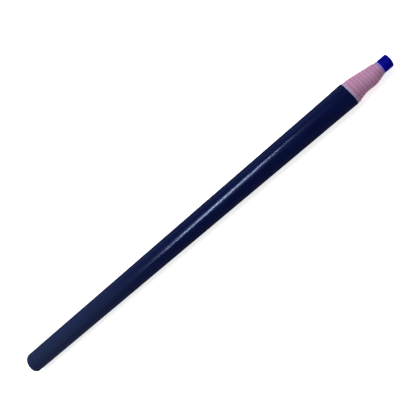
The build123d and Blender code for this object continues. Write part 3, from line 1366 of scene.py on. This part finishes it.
@dataclass
class ChalkCore:
    """The chalk rod, its tip worn round and a little lopsided."""

    form: PencilForm
    columns: int = 144
    tail_shares: tuple = (0.02, 0.35, 0.7, 0.97)
    tail_chips: float = 0.04
    tail_chip_spread: float = 3.0
    tail_chip_layer: float = 2.0
    tail_rim_setback: float = 0.05
    tail_wear: float = 0.2
    hidden_shares: tuple = (0.02, 0.3, 0.6, 0.97)
    hidden_reach: float = 0.2
    bare_rows: int = 22
    bare_swell: float = 0.08
    bare_swell_reach: float = 0.4
    rub: float = 0.012
    rub_length: float = 2.5
    rub_spread: float = 5.0
    rub_level: float = 0.4
    tip_rounding: float = 0.34
    round_rows: int = 9
    worn_side: float = 210.0
    worn_extra: float = 0.26
    worn_unevenness: float = 0.10
    worn_waves: tuple = (4.0, 1.5)
    worn_edge_level: float = 0.25
    dome: float = 0.02
    dome_shares: tuple = (0.8, 0.55, 0.3, 0.1, 0.01)
    dome_dents: float = 0.02
    dome_dent_spread: float = 1.5
    dome_dent_layer: float = 7.0
    weld_gap: float = 3e-7
    crease_angle: float = 40.0

    def edge_rounding(self, angle: float) -> float:
        """Radius of the tip's worn edge, larger on the side that has marked most.

        Args:
            angle: angle of the place.

        Returns:
            The edge's radius there.
        """
        lean = 0.5 + 0.5 * cos(radians(angle_between(angle, self.worn_side)))
        return between(self.tip_rounding, self.tip_rounding + self.worn_extra, lean ** 2) + (
            self.worn_unevenness * uneven(*self.worn_waves, angle))

    def side_radius(self, x: float, angle: float) -> float:
        """Radius of the rod, with faint lengthwise rubbing past the wrap.

        Args:
            x: place along the pencil.
            angle: angle of the place.

        Returns:
            The rod's radius there.
        """
        swell = self.bare_swell + self.rub * (
            uneven(x / self.rub_length, self.rub_spread, angle) - self.rub_level)
        return self.form.core_radius + swell * kept_share(
            (x - self.form.junction_x) / self.bare_swell_reach)

    def tail_face(self, share: float, angle: float) -> tuple[float, float]:
        """X and radius of the broken chalk on the tail's cut.

        Args:
            share: share of the rod's radius.
            angle: angle of the place.

        Returns:
            The place's x and its radius.
        """
        radius = self.form.core_radius * share
        chip = dented(share * self.tail_chip_spread, angle, self.tail_chip_layer)
        return self.form.tail_at(radius, angle) + self.tail_chips * (1 + chip), radius

    def bare_side(self, row: int, angle: float) -> tuple[float, float]:
        """X and radius of the rod's side, from inside the wrap to the worn edge.

        Args:
            row: number of the ring.
            angle: angle of the place.

        Returns:
            The place's x and its radius.
        """
        start = self.form.junction_x - self.hidden_reach
        x = between(start, self.form.tip_x - self.edge_rounding(angle), row / self.bare_rows)
        return x, self.side_radius(x, angle)

    def worn_edge(self, row: int, angle: float) -> tuple[float, float]:
        """X and radius of the tip's rounded edge, from the side to the tip's face.

        Args:
            row: number of the ring.
            angle: angle of the place.

        Returns:
            The place's x and its radius.
        """
        size, lean = self.edge_rounding(angle), pi / 2 * row / self.round_rows
        x = self.form.tip_x - size * (1 - sin(lean)) - self.dome * sin(lean)
        return x, self.side_radius(self.form.tip_x, angle) - size * (1 - cos(lean))

    def tip_face(self, share: float, angle: float) -> tuple[float, float]:
        """X and radius of the slightly domed and dented tip.

        Args:
            share: share of the radius inside the worn edge.
            angle: angle of the place.

        Returns:
            The place's x and its radius.
        """
        radius = (self.form.core_radius - self.edge_rounding(angle)) * share
        dent = self.dome_dents * dented(radius * self.dome_dent_spread, angle, self.dome_dent_layer)
        return self.form.tip_x - self.dome * share ** 2 + min(dent, 0.0) * (1 - share ** 4), radius

    def build_mesh(self) -> bpy.types.Mesh:
        """Weaves the cut tail, the side, the worn edge and the tip.

        Returns:
            The closed mesh.
        """
        form, core = self.form, self.form.core_radius
        skin = RingSkin(form, [FULL_TURN * i / self.columns for i in range(self.columns)])
        for share in self.tail_shares:
            skin.add(partial(self.tail_face, share), cut_edge=self.tail_wear)
        skin.add(lambda a: (form.tail_at(core, a) + self.tail_rim_setback, core), cut_edge=self.tail_wear)
        for share in self.hidden_shares:
            skin.add(lambda a: (between(form.tail_x, form.junction_x, share), core))
        for row in range(self.bare_rows + 1):
            skin.add(partial(self.bare_side, row))
        for row in range(1, self.round_rows + 1):
            skin.add(partial(self.worn_edge, row),
                     cut_edge=kept_share(self.worn_edge_level + row / self.round_rows))
        for share in self.dome_shares:
            skin.add(partial(self.tip_face, share), cut_edge=1.0)
        mesh = skin.to_mesh("chalk_core", closed_round=True, closed_profile=False)
        return weld(mesh, self.weld_gap, self.crease_angle)


@dataclass
class PullThread:
    """The twisted string in its groove between the wrap and the sleeve."""

    form: PencilForm
    diameter: float = 0.40
    strands: int = 3
    strand_share: float = 0.49
    twist_pitch: float = 1.6
    steps_per_twist: int = 9
    strand_sides: int = 6
    end_gap: float = 0.02

    def twist_tree(self) -> bpy.types.NodeTree:
        """Sweeps strands round a straight path as a right-handed twist.

        Returns:
            The Geometry Nodes tree.
        """
        tree = PieceTree("twisted strands", {
            "Length": 0.0, "Radius": 0.0, "Strands": 1, "Twists": 0.0, "Steps": 1, "Sides": 1,
            "Place": Socket.VECTOR})
        given = tree.given
        line = tree.out("GeometryNodeCurvePrimitiveLine", {
            "End": tree.combine(given["Length"], 0.0, 0.0)}, mode="POINTS")
        copies = tree.out("GeometryNodeInstanceOnPoints", {
            "Points": tree.out("GeometryNodePoints", {"Count": given["Strands"]}),
            "Instance": tree.out("GeometryNodeResampleCurve", {"Curve": line, "Count": given["Steps"]})})
        lines = tree.out("GeometryNodeRealizeInstances", {0: copies})
        along = tree.out("GeometryNodeSplineParameter", output="Factor")
        strand = tree.math("FLOOR", tree.out("GeometryNodeInputIndex") / given["Steps"])
        turn = (along * given["Twists"] + strand / given["Strands"]) * (2 * pi)
        offset = given["Radius"] * 0.5
        x = tree.split(tree.out("GeometryNodeInputPosition"))[0]
        coiled = tree.combine(x, offset * tree.math("COSINE", turn), offset * tree.math("SINE", turn))
        placed = tree.out("ShaderNodeVectorMath", {0: coiled, 1: given["Place"]}, operation="ADD")
        wound = tree.out("GeometryNodeSetPosition", {"Geometry": lines, "Position": placed})
        return tree.finish(tree.sweep(wound, given["Sides"], given["Radius"] * self.strand_share))

    def build_mesh(self, material: bpy.types.Material) -> bpy.types.Mesh:
        """Runs the twist along the string's groove.

        Args:
            material: finish of the string.

        Returns:
            The string's mesh.
        """
        low, high = corners("pull_string")
        middle = (low + high) / 2
        length = high.x - low.x - 2 * self.end_gap
        twists = length / self.twist_pitch
        made = run_tree(bpy.data.meshes.new("string seed"), self.twist_tree(), {
            "Length": length * MM, "Radius": self.diameter / 2 * MM, "Strands": self.strands,
            "Twists": twists, "Steps": round(twists * self.steps_per_twist), "Sides": self.strand_sides,
            "Place": Vector((low.x + self.end_gap, middle.y, middle.z)) * MM, "Material": material})
        made.shade_smooth()
        return made


@dataclass(frozen=True)
class Lamp:
    """A flat lamp that faces the pencil, and that only reflections show if it is mirrored."""

    name: str
    centre: tuple
    along: tuple
    size: tuple
    level: float
    colour: tuple = WHITE[:3]
    mirrored: bool = True

    def build(self, aim: Vector) -> bpy.types.Object:
        """Makes the lamp.

        Args:
            aim: the place that it faces.

        Returns:
            The lamp.
        """
        data = bpy.data.lights.new(self.name, "AREA")
        data.shape = "ELLIPSE" if self.mirrored else "RECTANGLE"
        data.size, data.size_y = (length * MM for length in self.size)
        # A lamp's power grows with its area, and its level does not
        data.energy = self.level * pi * data.size * data.size_y
        data.color = self.colour
        made = show(self.name, data)
        centre, along = Vector(self.centre), Vector(self.along)
        back = (centre - aim).normalized()
        lengthwise = (along - back * along.dot(back)).normalized()
        stand(made, (lengthwise, back.cross(lengthwise), back), centre)
        made.visible_glossy = self.mirrored
        made.visible_diffuse = not self.mirrored
        return made


@dataclass
class Studio:
    """Floor, lamps, world and camera, placed by the view that the photograph has."""

    form: PencilForm
    focal_length: float = 36.16
    sensor_width: float = 36.0
    clip_span: tuple = (0.01, 20.0)
    camera_distance: float = 145.9
    camera_lean: float = 16.62
    camera_roll: float = 30.0
    centre_x: float = 15.3
    offset_along_share: float = 0.00610
    offset_across_share: float = 0.00510
    image_turn: float = 40.52
    floor_size: float = 3000.0
    floor_colour: tuple = (0.93, 0.93, 0.93, 1.0)
    floor_roughness: float = 0.9
    floor_glow: float = 0.75
    world_level: float = 0.25
    soft_lamp: Lamp = Lamp("soft lamp", centre=(-70.0, 150.0, 450.0), along=(1.0, 0.0, 0.0),
                           size=(520.0, 360.0), level=3.6, mirrored=False)
    # Two broad lamps give the sleeve its sheen
    sheen_lamps: tuple = (
        Lamp("window lamp", centre=(20.0, 420.0, 210.0), along=(1.0, 0.0, 0.0),
             size=(900.0, 420.0), level=2.6, colour=(0.55, 0.80, 1.0)),
        Lamp("end lamp", centre=(-420.0, -40.0, 300.0), along=(0.0, 1.0, 0.0),
             size=(900.0, 420.0), level=1.8, colour=(0.55, 0.80, 1.0)))
    # Slim lamps inside each other draw a line along it that fades out towards both ends
    line_lamps: tuple = tuple(
        Lamp(f"slim lamp {number}", centre=(-53.0, -39.0, 280.0), along=(0.655, 0.740, 0.0),
             size=(length, 33.0), level=222.0, colour=(0.52, 0.67, 1.0))
        for number, length in enumerate((175.0, 215.0, 280.0), start=1))

    @staticmethod
    def seen_directly(graph: Graph) -> Value:
        """Mask of the rays that show the background: straight, reflected or through a clear piece.

        Args:
            graph: the nodes of the background's material or world.

        Returns:
            One for such a ray, else nothing.
        """
        path = graph.node("ShaderNodeLightPath")
        camera, glossy, clear = (Value(graph, path.outputs[f"Is {ray} Ray"])
                                 for ray in ("Camera", "Glossy", "Transmission"))
        return graph.math("MAXIMUM", graph.math("MAXIMUM", camera, clear), glossy)

    def build_floor(self) -> bpy.types.Object:
        """A wide plain floor that stays near white and keeps the pencil's shadow.

        Returns:
            The floor.
        """
        half = self.floor_size / 2 * MM
        mesh = bpy.data.meshes.new("floor")
        square = [(-half, -half, 0.0), (half, -half, 0.0), (half, half, 0.0), (-half, half, 0.0)]
        mesh.from_pydata(square, [], [(0, 1, 2, 3)])
        floor = show("floor", mesh)
        surface = Surface("plain floor")
        mesh.materials.append(surface.finish(
            Base_Color=self.floor_colour, Roughness=self.floor_roughness, Specular_IOR_Level=0.0,
            Emission_Color=WHITE, Emission_Strength=self.seen_directly(surface) * self.floor_glow))
        return floor

    def build_world(self) -> None:
        """Even pale light from all round, which the camera sees as white."""
        world = bpy.data.worlds.new("studio")
        bpy.context.scene.world = world
        world.use_nodes = True
        graph = Graph(world.node_tree)
        strength = self.seen_directly(graph) * (1.0 - self.world_level) + self.world_level
        graph.feed(graph.tree.nodes["Background"], {"Color": WHITE, "Strength": strength})

    def build_lamps(self) -> None:
        """A broad soft lamp above, and lamps that only reflections show."""
        for lamp in (self.soft_lamp, *self.sheen_lamps, *self.line_lamps):
            lamp.build(Vector((0.0, 0.0, self.form.axis_height)))

    def build_camera(self) -> bpy.types.Object:
        """The camera where the photograph was taken from, with the same field of view.

        Returns:
            The camera.
        """
        lean, roll, turn = (radians(a) for a in (self.camera_lean, self.camera_roll, self.image_turn))
        rising = Vector((0.0, -sin(roll), cos(roll)))
        beside = Vector((0.0, -cos(roll), -sin(roll)))
        along = Vector((cos(lean), 0.0, 0.0)) - rising * sin(lean)
        back = Vector((sin(lean), 0.0, 0.0)) + rising * cos(lean)
        eye = Vector((self.centre_x, 0.0, self.form.axis_height)) + self.camera_distance * (
            back - along * self.offset_along_share - beside * self.offset_across_share)
        right = along * cos(turn) + beside * sin(turn)
        up = along * sin(turn) - beside * cos(turn)
        data = bpy.data.cameras.new("camera")
        data.lens, data.sensor_width = self.focal_length, self.sensor_width
        data.clip_start, data.clip_end = self.clip_span
        camera = show("camera", data)
        stand(camera, (right, up, back), eye)
        bpy.context.scene.camera = camera
        return camera


def dress(name: str, mesh: bpy.types.Mesh, material: bpy.types.Material, slot: Slot, node: str) -> None:
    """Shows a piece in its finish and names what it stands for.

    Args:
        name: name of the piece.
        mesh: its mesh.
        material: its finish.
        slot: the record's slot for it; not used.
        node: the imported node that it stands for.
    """
    mesh.name = name
    mesh.materials.clear()
    mesh.materials.append(material)
    piece = show(name, mesh)
    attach(piece, BODY)
    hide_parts(node)
    log.info("%s stands for %s, %d faces", name, node, len(mesh.polygons))


def main() -> None:
    """Builds the pieces, their finishes and the studio."""
    logging.basicConfig(level=logging.INFO, format="%(name)s: %(message)s")
    form = PencilForm()
    kit = ShaderKit()
    navy, pink, blue, cotton = (finish(kit, form).build() for finish in (
        NavySleevePaper, PinkStripPaper, BlueChalk, CottonThread))
    dress("sleeve_jacket", SleeveJacket(form).build_mesh(), navy, Slot.SLEEVE, "outer_sleeve")
    dress("paper_strip", PaperStrip(form).build_mesh(pink), pink, Slot.STRIP, "paper_wrap")
    dress("chalk_core", ChalkCore(form).build_mesh(), blue, Slot.CHALK, "marking_core")
    dress("pull_thread", PullThread(form).build_mesh(cotton), cotton, Slot.STRING, "pull_string")
    studio = Studio(form)
    studio.build_floor()
    studio.build_world()
    studio.build_lamps()
    studio.build_camera()
    bpy.context.scene.view_settings.view_transform = "Standard"


if __name__ == "__main__":
    main()
